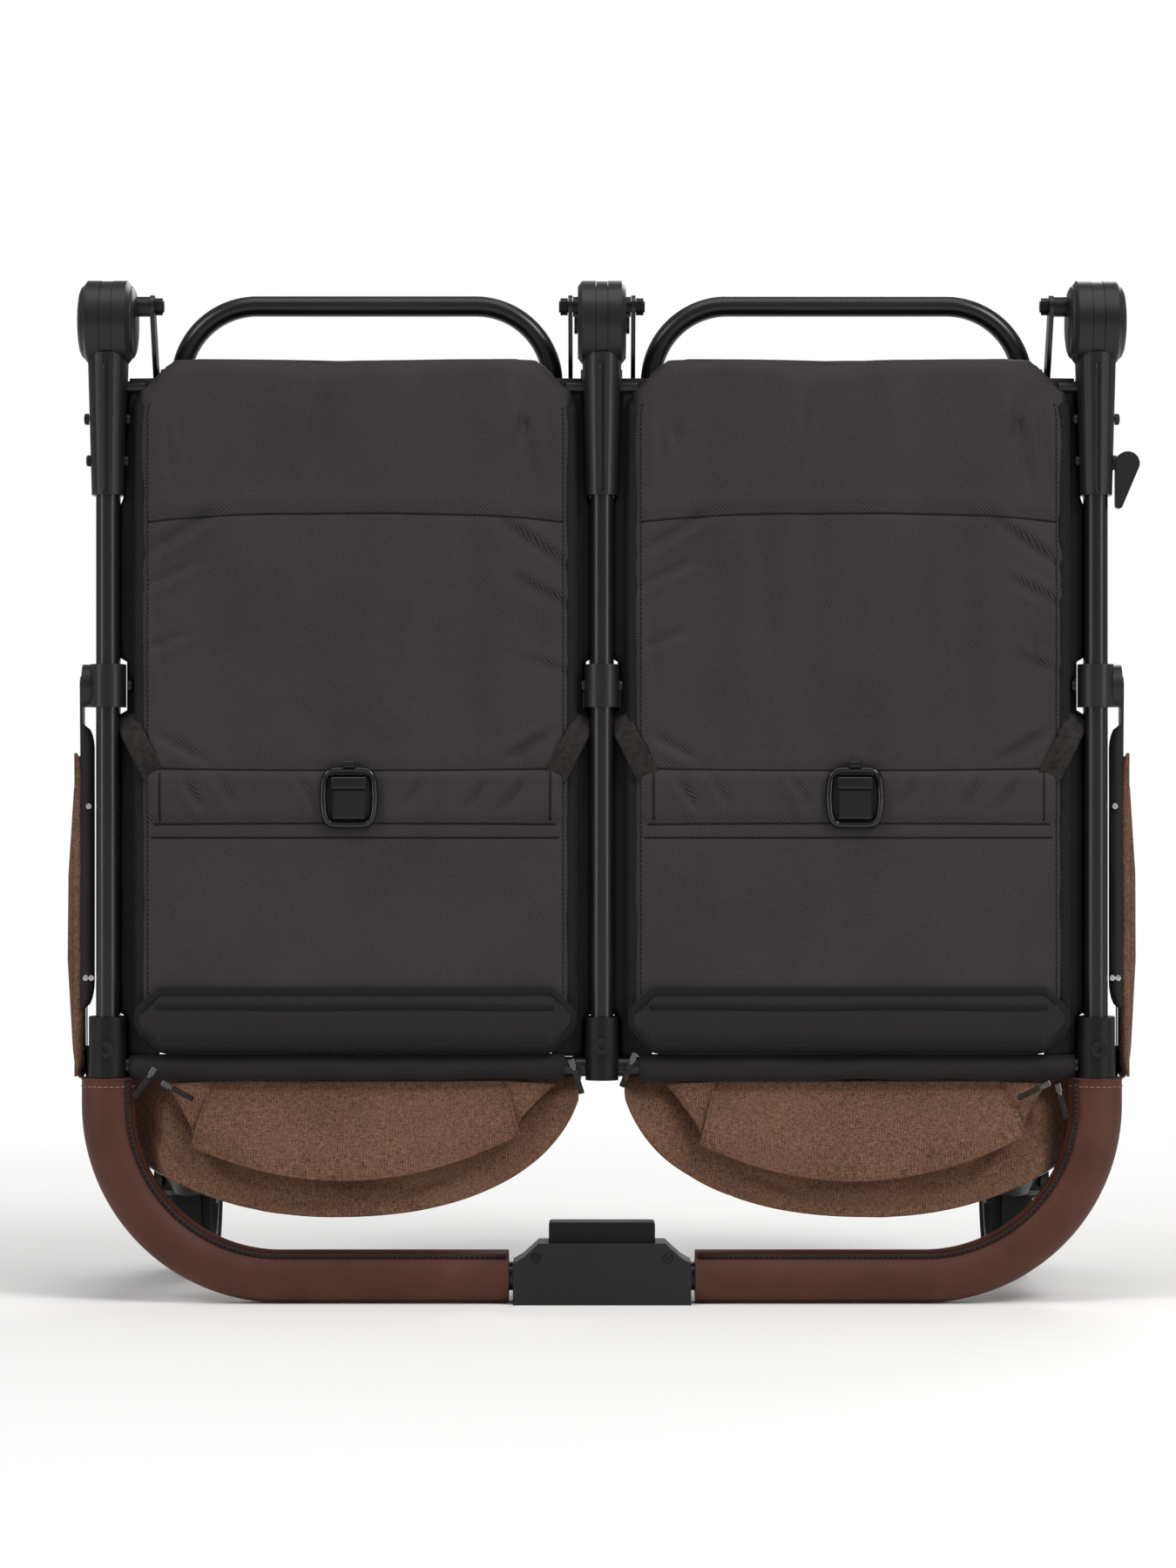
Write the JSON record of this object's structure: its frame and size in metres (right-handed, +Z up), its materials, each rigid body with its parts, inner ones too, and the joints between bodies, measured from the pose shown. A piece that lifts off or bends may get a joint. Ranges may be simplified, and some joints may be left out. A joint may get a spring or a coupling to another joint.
{
  "type": "double stroller",
  "caption": "Side by side stroller with two seats, folded flat to stand on its handlebar and front wheels, with hinged handle, reclining backs and fold-out canopies.",
  "frame": {"origin": "centre of the folded stroller's footprint, on the floor", "axes": "+X to the right as seen from the seat backs' outer faces, +Y away from the viewer towards the wheels, +Z up from the handlebar to the fold hinges"},
  "size_m": [0.75, 0.299, 0.714],
  "materials": {
    "frame_tube": "satin black powder coat",
    "black_plastic": "fine moulded grain",
    "bolt_steel": "blackened",
    "leatherette": "grained brown",
    "black_twill": "woven twill",
    "brown_melange": "melange weave",
    "wheel_rim": "moulded",
    "tyre_rubber": "foam rubber"
  },
  "bodies": {
    "chassis": {"front_leg_left": "frame_tube", "front_leg_right": "frame_tube", "front_crossbar": "frame_tube", "center_strut": "frame_tube", "hinge_lug_left": "black_plastic", "hinge_lug_center": "black_plastic", "hinge_lug_right": "black_plastic", "castor_housing_left": "black_plastic", "castor_housing_right": "black_plastic", "rear_pivot_brackets": "black_plastic", "basket": "black_twill"},
    "handle": {"upright_left": "frame_tube", "upright_center": "frame_tube", "upright_right": "frame_tube", "hinge_head_left": "black_plastic", "hinge_head_center": "black_plastic", "hinge_head_right": "black_plastic", "hinge_bolts": "bolt_steel", "canopy_collars": "black_plastic", "handle_brackets": "black_plastic", "center_bracket": "black_plastic", "handle_crossbar": "frame_tube", "bracket_screws": "bolt_steel", "handle_tube": "frame_tube", "grip_left": "leatherette", "grip_right": "leatherette", "release_housing": "black_plastic"},
    "trigger": {"release_trigger": "black_plastic"},
    "catch": {"storage_catch": "black_plastic"},
    "seats": {"seat_hoop_left": "frame_tube", "seat_hoop_right": "frame_tube", "hanger_plates": "frame_tube", "seat_pad_left": "black_twill", "seat_pad_right": "black_twill"},
    "rear_frame": {"rear_leg_left": "frame_tube", "rear_leg_right": "frame_tube", "rear_axle_bar": "frame_tube"},
    "brake": {"brake_pedal": "black_plastic"},
    "seat_back_left": {"back_left": "black_twill", "recline_buckle_left": "black_plastic", "recline_strap_left": "black_twill"},
    "canopy_frame_left": {"canopy_left": "brown_melange", "canopy_bow_left": "frame_tube"},
    "rear_roller_left": {"rear_wheel_left": "wheel_rim", "rear_tyre_left": "tyre_rubber"},
    "castor_left": {"castor_fork_left": "black_plastic"},
    "front_roller_left": {"front_wheel_left": "wheel_rim", "front_tyre_left": "tyre_rubber"},
    "seat_back_right": {"back_right": "black_twill", "recline_buckle_right": "black_plastic", "recline_strap_right": "black_twill"},
    "canopy_frame_right": {"canopy_right": "brown_melange", "canopy_bow_right": "frame_tube"},
    "rear_roller_right": {"rear_wheel_right": "wheel_rim", "rear_tyre_right": "tyre_rubber"},
    "castor_right": {"castor_fork_right": "black_plastic"},
    "front_roller_right": {"front_wheel_right": "wheel_rim", "front_tyre_right": "tyre_rubber"}
  },
  "joints": [
    {"name": "fold", "type": "hinge", "parent": "chassis", "child": "handle", "pos_m": [0, -0.12048, 0.685], "axis": [-1, 0, 0], "range_deg": [0, 150]},
    {"name": "rear_leg_fold", "type": "hinge", "parent": "chassis", "child": "rear_frame", "pos_m": [0, 0.02452, 0.582], "axis": [1, 0, 0], "range_deg": [0, 95.1]},
    {"name": "seat_fold", "type": "hinge", "parent": "handle", "child": "seats", "pos_m": [0, -0.12048, 0.696], "axis": [1, 0, 0], "range_deg": [0, 117.1]},
    {"name": "release_slide", "type": "slide", "parent": "handle", "child": "trigger", "axis": [0, 0, -1], "range_m": [0, 0.006], "stiffness_N_per_m": 800, "springref_m": -0.003},
    {"name": "catch_swing", "type": "hinge", "parent": "handle", "child": "catch", "pos_m": [0.365, -0.12548, 0.584], "axis": [-1, 0, 0], "range_deg": [0, 70]},
    {"name": "brake_press", "type": "hinge", "parent": "rear_frame", "child": "brake", "pos_m": [0.21, 0.02452, 0.29], "axis": [-1, 0, 0], "range_deg": [0, 20]},
    {"name": "recline_left", "type": "hinge", "parent": "handle", "child": "seat_back_left", "pos_m": [-0.172, -0.12048, 0.64], "axis": [-1, 0, 0], "range_deg": [0, 45]},
    {"name": "canopy_open_left", "type": "hinge", "parent": "handle", "child": "canopy_frame_left", "pos_m": [-0.189, -0.10948, 0.431], "axis": [1, 0, 0], "range_deg": [0, 100.1]},
    {"name": "rear_roll_left", "type": "hinge", "parent": "rear_frame", "child": "rear_roller_left", "pos_m": [-0.336, 0.02452, 0.29], "axis": [1, 0, 0], "continuous": true},
    {"name": "swivel_left", "type": "hinge", "parent": "chassis", "child": "castor_left", "pos_m": [-0.3, -0.02548, 0.09421], "axis": [0, -0.9063, 0.4226], "continuous": true},
    {"name": "front_roll_left", "type": "hinge", "parent": "castor_left", "child": "front_roller_left", "pos_m": [-0.3, 0.08448, 0.065], "axis": [1, 0, 0], "continuous": true},
    {"name": "recline_right", "type": "hinge", "parent": "handle", "child": "seat_back_right", "pos_m": [0.172, -0.12048, 0.64], "axis": [-1, 0, 0], "range_deg": [0, 45]},
    {"name": "canopy_open_right", "type": "hinge", "parent": "handle", "child": "canopy_frame_right", "pos_m": [0.189, -0.10948, 0.431], "axis": [1, 0, 0], "range_deg": [0, 100.1]},
    {"name": "rear_roll_right", "type": "hinge", "parent": "rear_frame", "child": "rear_roller_right", "pos_m": [0.336, 0.02452, 0.29], "axis": [1, 0, 0], "continuous": true},
    {"name": "swivel_right", "type": "hinge", "parent": "chassis", "child": "castor_right", "pos_m": [0.3, -0.02548, 0.09421], "axis": [0, -0.9063, 0.4226], "continuous": true},
    {"name": "front_roll_right", "type": "hinge", "parent": "castor_right", "child": "front_roller_right", "pos_m": [0.3, 0.08448, 0.065], "axis": [1, 0, 0], "continuous": true}
  ],
  "couplings": [
    {"joint": "rear_leg_fold", "follows": "fold", "ratio": 0.63333},
    {"joint": "seat_fold", "follows": "fold", "ratio": 0.78},
    {"joint": "canopy_open_left", "follows": "fold", "ratio": 0.66667},
    {"joint": "canopy_open_right", "follows": "fold", "ratio": 0.66667}
  ]
}
